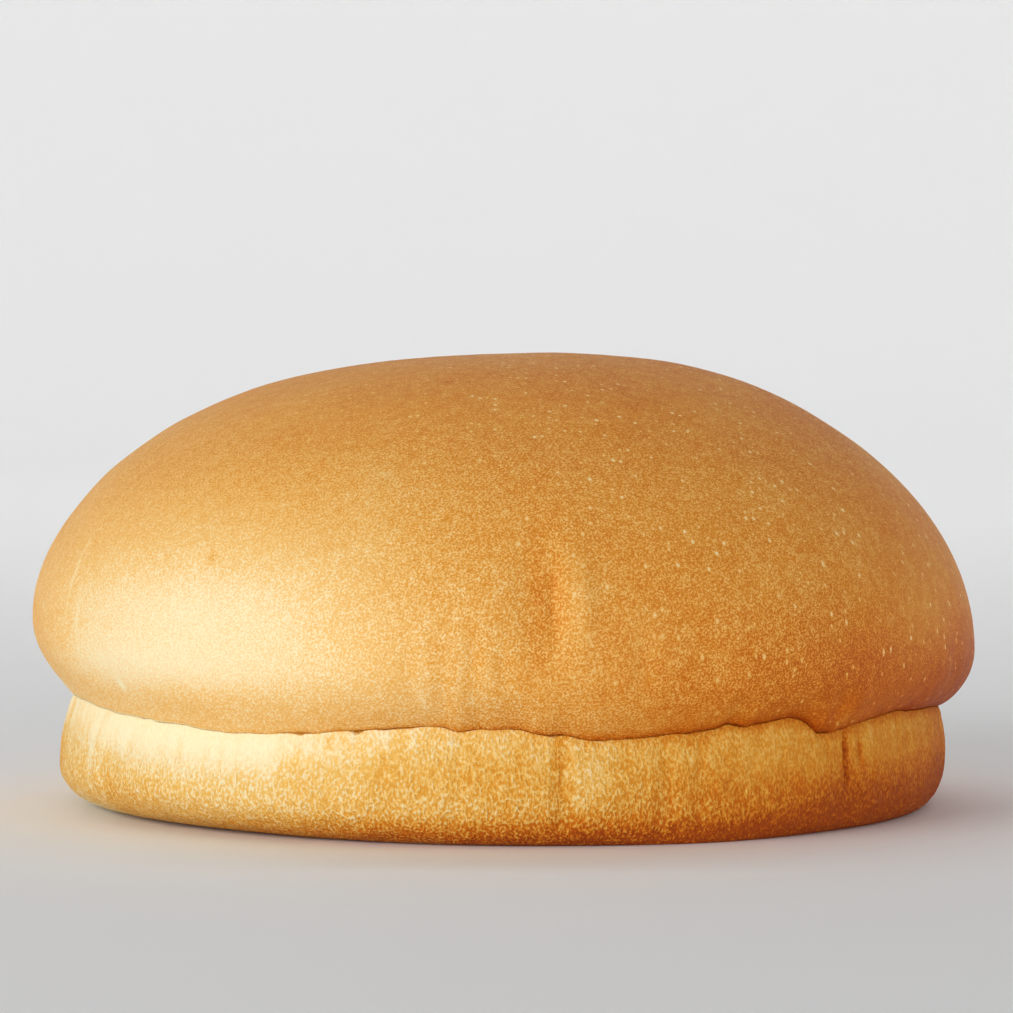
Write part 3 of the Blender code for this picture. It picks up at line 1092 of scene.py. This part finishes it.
class Graph:
    """The nodes of one material."""

    def __init__(self, name):
        self.material = bpy.data.materials.new(name)
        self.material.use_nodes = True
        self.nodes = self.material.node_tree.nodes
        self.links = self.material.node_tree.links
        self.shader = self.nodes["Principled BSDF"]

    def node(self, kind, settings=None, inputs=None, output=0):
        """Adds a node: its settings first, then a value or a link for each of its inputs."""
        node = self.nodes.new(kind)
        for name, value in (settings or {}).items():
            if name == "stops":
                set_stops(node.color_ramp, value)
            else:
                setattr(node, name, value)
        self.feed(node, inputs or {})
        return Socket(self, node.outputs[output])

    def feed(self, node, inputs):
        """Sets or links a node's inputs, by name or number."""
        for name, value in inputs.items():
            if isinstance(value, Socket):
                self.links.new(value.link, node.inputs[name])
            else:
                node.inputs[name].default_value = value

    def attribute(self, name):
        return self.node("ShaderNodeAttribute", {"attribute_name": name}, output="Fac")

    def step(self, low, high, value):
        """Smooth step from 0 at low to 1 at high."""
        settings = {"interpolation_type": "SMOOTHSTEP"}
        inputs = {"Value": value, "From Min": low, "From Max": high}
        return self.node("ShaderNodeMapRange", settings, inputs)

    def times(self, vector, factors):
        return self.node("ShaderNodeVectorMath", {"operation": "MULTIPLY"}, {0: vector, 1: factors})

    def noise(self, vector, size, detail, roughness=0.5):
        """Noise whose features have about this size in metres, from 0 to 1."""
        inputs = {"Vector": vector, "Scale": 1 / size, "Detail": detail, "Roughness": roughness}
        return self.node("ShaderNodeTexNoise", None, inputs)

    def flecks(self, vector, spacing, radius, ragged):
        """Ragged flecks, one in each Voronoi cell, of random sizes up to the radius, small ones fainter."""
        inputs = {"Vector": vector, "Scale": 1 / spacing}
        distance = self.node("ShaderNodeTexVoronoi", {"feature": "F1"}, inputs, "Distance")
        size = self.node("ShaderNodeSeparateColor", None, {"Color": distance.also("Color")}, "Red")
        share = SMALLEST_FLECK + (1 - SMALLEST_FLECK) * size * size * size
        edge = share * (radius / spacing)
        inside = self.step(edge, edge * FLECK_CORE, distance + ragged)
        return inside * (FAINTEST_FLECK + (1 - FAINTEST_FLECK) * size)


def set_stops(ramp, stops):
    """Places a ramp's stops, each a position and a colour."""
    while len(ramp.elements) < len(stops):
        ramp.elements.new(0.5)
    for element, (position, colour) in zip(ramp.elements, stops):
        element.position = position
        element.color = (*colour, 1.0)


def crust_material(look):
    """Baked crust: its colour, sheen and fine relief follow how far each place is baked.

    Strokes, mottles and flecks change the browning and painted shade that the skin
    carries, and one ramp turns the result into colour. On the heel the strokes are drawn
    out upwards, and the flecks are painted glints that stand in for highlights.
    """
    graph = Graph("baked_crust")
    place = graph.node("ShaderNodeTexCoord", output="Object")
    heel = graph.attribute("heel")
    strength = graph.attribute("grain")
    across, up = (1 - heel * share for share in HEEL_DRAWN)
    drawn = graph.node("ShaderNodeCombineXYZ", None, {"X": across, "Y": across, "Z": up})
    dense = FLECK_DENSITY + heel * HEEL_GLINT_DENSITY
    thinner = graph.node("ShaderNodeCombineXYZ", None, {"X": dense, "Y": dense, "Z": FLECK_DENSITY_UP})

    grain = graph.noise(graph.times(place, drawn), GRAIN_SIZE, detail=2.0, roughness=GRAIN_ROUGHNESS)
    strokes = graph.step(*STROKE_RANGE, grain)
    mottle = graph.noise(place, MOTTLE_SIZE, detail=0.0)
    ragged_by = (grain - 0.5) * FLECK_RAGGEDNESS
    # Pale flecks of the crust on the crown, painted glints on the heel
    flecks = graph.flecks(graph.times(place, thinner), FLECK_SPACING, FLECK_RADIUS, ragged_by)
    flecks = flecks * graph.attribute("flecks")

    contrast = look.grain_contrast + heel * (look.crumb_contrast - look.grain_contrast)
    uneven = (0.5 - strokes) * strength * contrast + (0.5 - mottle) * MOTTLE_CONTRAST
    baked = graph.attribute("browning") * (1 + uneven) + (0.5 - strokes) * strength * STROKE_BAKED
    baked = baked * (1 - flecks * look.fleck_and_glint_contrast)

    stops = list(zip(BAKE_STOPS, look.colours()))
    colour = graph.node("ShaderNodeValToRGB", {"stops": stops}, {"Fac": baked * (1 / MOST_BAKED)}, "Color")
    tinted = {0: heel * graph.step(*HEEL_TINT_RANGE, baked), 6: colour, 7: (*look.heel_tint, 1.0)}
    colour = graph.node("ShaderNodeMix", {"data_type": "RGBA", "blend_type": "MULTIPLY"}, tinted, 2)
    relief = grain * strength * (GRAIN_RELIEF + heel * HEEL_GRAIN_RELIEF)
    inputs = {"Strength": 1.0, "Distance": look.grain_depth, "Height": relief}
    bump = graph.node("ShaderNodeBump", None, inputs, "Normal")
    rough = look.roughness + (0.5 - grain) * GRAIN_GLOSS + heel * HEEL_ROUGHER
    graph.feed(graph.shader, {"Base Color": colour, "Roughness": rough, "Normal": bump})
    graph.feed(graph.shader, {"IOR": CRUST_IOR, "Specular IOR Level": look.shine})
    return graph.material


def number_property(name, description, default, **settings):
    return FloatProperty(name=name, description=description, default=default, **settings)


def length_property(name, description, default, precision=4):
    return number_property(name, description, default, unit="LENGTH", precision=precision)


def power_property(name, description, default):
    return number_property(name, description, default, unit="POWER")


def colour_property(name, description, default):
    return FloatVectorProperty(
        name=name, description=description, default=default, subtype="COLOR", min=0.0, max=1.0
    )


class BunSizes(PropertyGroup):
    """Sizes of the bun, in metres."""

    width: length_property("Width", "Across the crown, left to right", CAD_HIGH.x - CAD_LOW.x)
    depth: length_property("Depth", "Across the crown, front to back", CAD_HIGH.y - CAD_LOW.y)
    height: length_property("Height", "From the underside to the top of the crown", CAD_HIGH.z)
    heel_width: length_property("Heel width", "Across the heel at its widest", 0.0957)
    crease_height: length_property("Crease height", "Mean height of the crease above the underside", 0.0117)
    fold_depth: length_property("Fold depth", "How far the crease goes in under the lip", 0.0008)
    fold_gap: length_property("Fold gap", "Width of the crease's mouth", 0.00006, 5)
    raggedness: length_property("Raggedness", "How far the crease's line strays up and down", 0.00016, 5)
    relief: number_property("Relief", "Strength of the skin's small relief", 1.0, min=0.0, max=2.0)


class CrustLook(PropertyGroup):
    """Colours and surface of the crust."""

    raw: colour_property("Raw", "Dough that hardly saw the heat", (0.97, 0.86, 0.56))
    pale: colour_property("Pale", "Lightly baked crust", (0.92, 0.56, 0.176))
    golden: colour_property("Golden", "Crust baked golden", (0.80, 0.335, 0.0380))
    brown: colour_property("Brown", "Well baked crust", (0.64, 0.155, 0.0045))
    dark: colour_property("Dark", "The darkest crust", (0.40, 0.065, 0.003))
    heel_tint: colour_property("Heel tint", "Multiplies the heel's colours", (0.98, 1.0, 0.80))
    roughness: number_property("Roughness", "Mean roughness of the crown's crust", 0.54, min=0.0, max=1.0)
    shine: number_property("Shine", "Strength of the crust's reflections", 0.28, min=0.0, max=1.0)
    grain_depth: length_property("Grain depth", "Height of the crust's grain", 0.00014, 6)
    grain_contrast: number_property("Grain contrast", "How much the crown's grain changes the browning", 1.0)
    crumb_contrast: number_property("Crumb contrast", "How much the heel's grain changes the browning", 1.0)
    # On the heel the flecks are painted glints, so this also sets how pale they are
    fleck_and_glint_contrast: number_property("Fleck contrast", "How much less the flecks are browned", 0.90)

    def colours(self):
        return [tuple(c) for c in (self.raw, self.pale, self.golden, self.brown, self.dark)]


class StageLook(PropertyGroup):
    """The floor and the light."""

    floor_colour: colour_property("Floor", "Colour of the floor and the wall", (0.92, 0.92, 0.92))
    key_power: power_property("Key light", "Power of the large low light at the left front", 4.8)
    fill_power: power_property("Fill light", "Power of the weak low light at the right", 0.85)
    front_power: power_property("Front light", "Power of the light in front", 2.75)
    back_power: power_property("Back light", "Power of the light on the floor and wall behind", 6.2)
    top_power: power_property("Top light", "Power of the weak light above", 0.75)
    sky_strength: number_property("Sky", "Strength of the even light from all round", 0.20)


class BUN_OT_make_skin(Operator):
    """Make the bun's skin, from the crown's top over the crease and the heel to the underside"""

    bl_idname = "bun.make_skin"
    bl_label = "Skin"

    def execute(self, context):
        sizes = context.scene.bun_sizes
        points, above, below = bun_surface(sizes)
        faces = closed_tube_faces(*points.shape[:2])
        crust = crust_material(context.scene.crust_look)
        skin = add_piece("bun_skin", with_ends(points), faces, crust)
        store(skin.data, "browning", with_ends(browning(points, above, below, sizes)))
        # The heel's pattern starts at once at the fold's bottom, where the change is hidden.
        store(skin.data, "heel", with_ends(below > above))
        store(skin.data, "grain", with_ends(grain_strength(points, below)))
        store(skin.data, "flecks", with_ends(fleck_and_glint_strength(points, above)))
        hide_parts("bun")
        return {"FINISHED"}


class BUN_OT_make_stage(Operator):
    """Make the floor, the lights and the camera"""

    bl_idname = "bun.make_stage"
    bl_label = "Stage"

    def execute(self, context):
        look = context.scene.stage_look
        make_floor(look)
        make_lights(look)
        make_camera()
        context.scene.view_settings.view_transform = "Standard"
        return {"FINISHED"}


def make_floor(look):
    """A round floor that sweeps up into a wall: a profile turned round Z."""
    turn = np.linspace(0, math.pi / 2, SWEEP_STEPS + 1)
    wall_radius = FLOOR_RADIUS + SWEEP_RADIUS
    radius = np.concatenate([[FLOOR_INNER_RADIUS], FLOOR_RADIUS + SWEEP_RADIUS * np.sin(turn), [wall_radius]])
    height = np.concatenate([[0.0], SWEEP_RADIUS * (1 - np.cos(turn)), [WALL_HEIGHT]])
    around = np.linspace(0, 2 * math.pi, FLOOR_SEGMENTS, endpoint=False)
    points = ring_points(around, radius[:, None], np.repeat(height[:, None], FLOOR_SEGMENTS, axis=1))
    place = np.arange(points[..., 0].size).reshape(points.shape[:2])
    faces = [place[0].tolist()] + quads_round(place)
    graph = Graph("floor")
    graph.feed(graph.shader, {"Base Color": (*look.floor_colour, 1.0), "Roughness": FLOOR_ROUGHNESS})
    floor = smooth_object("floor", points.reshape(-1, 3), faces, graph.material)


def add_area_light(name, place, target, size, power):
    """A rectangular light at a place, turned to a target, that the camera doesn't see."""
    light = bpy.data.lights.new(name, "AREA")
    light.shape = "RECTANGLE"
    light.size, light.size_y = size
    light.energy = power
    lamp = placed(name, light)
    lamp.location = place
    lamp.rotation_euler = (Vector(target) - Vector(place)).to_track_quat("-Z", "Y").to_euler()
    lamp.visible_camera = False


def make_lights(look):
    """A large low light at the left front, weaker ones round it, one on the wall, and an even sky."""
    add_area_light("key_light", *KEY_LIGHT, look.key_power)
    add_area_light("fill_light", *FILL_LIGHT, look.fill_power)
    add_area_light("front_light", *FRONT_LIGHT, look.front_power)
    add_area_light("top_light", *TOP_LIGHT, look.top_power)
    add_area_light("back_light", *BACK_LIGHT, look.back_power)
    world = bpy.context.scene.world or bpy.data.worlds.new("sky")
    bpy.context.scene.world = world
    world.use_nodes = True
    background = world.node_tree.nodes["Background"]
    background.inputs["Color"].default_value = (1.0, 1.0, 1.0, 1.0)
    background.inputs["Strength"].default_value = look.sky_strength


def make_camera():
    """A long lens, a little above the floor and tilted down to it."""
    camera = bpy.data.cameras.new("camera")
    camera.sensor_width = CAMERA_SENSOR
    camera.lens = CAMERA_LENS
    camera.clip_end = CAMERA_CLIP_END
    holder = placed("camera", camera)
    holder.location = CAMERA_PLACE
    holder.rotation_euler = (math.radians(90 - CAMERA_TILT), 0.0, 0.0)
    bpy.context.scene.camera = holder


class BUN_PT_panel(Panel):
    """Sizes, colours and steps of the bun"""

    bl_idname = "BUN_PT_panel"
    bl_label = "Hamburger bun"
    bl_space_type = "VIEW_3D"
    bl_region_type = "UI"
    bl_category = "Bun"

    def draw(self, context):
        for group in (context.scene.bun_sizes, context.scene.crust_look, context.scene.stage_look):
            box = self.layout.box()
            for name in group.bl_rna.properties.keys():
                if name not in ("rna_type", "name"):
                    box.prop(group, name)
        for operator in (BUN_OT_make_skin, BUN_OT_make_stage):
            self.layout.operator(operator.bl_idname)


CLASSES = (
    BunSizes,
    CrustLook,
    StageLook,
    BUN_OT_make_skin,
    BUN_OT_make_stage,
    BUN_PT_panel,
)


def register():
    for cls in CLASSES:
        bpy.utils.register_class(cls)
    bpy.types.Scene.bun_sizes = PointerProperty(type=BunSizes)
    bpy.types.Scene.crust_look = PointerProperty(type=CrustLook)
    bpy.types.Scene.stage_look = PointerProperty(type=StageLook)


def unregister():
    del bpy.types.Scene.stage_look
    del bpy.types.Scene.crust_look
    del bpy.types.Scene.bun_sizes
    for cls in reversed(CLASSES):
        bpy.utils.unregister_class(cls)


def main():
    register()
    bpy.ops.bun.make_skin()
    bpy.ops.bun.make_stage()


if __name__ == "__main__":
    main()
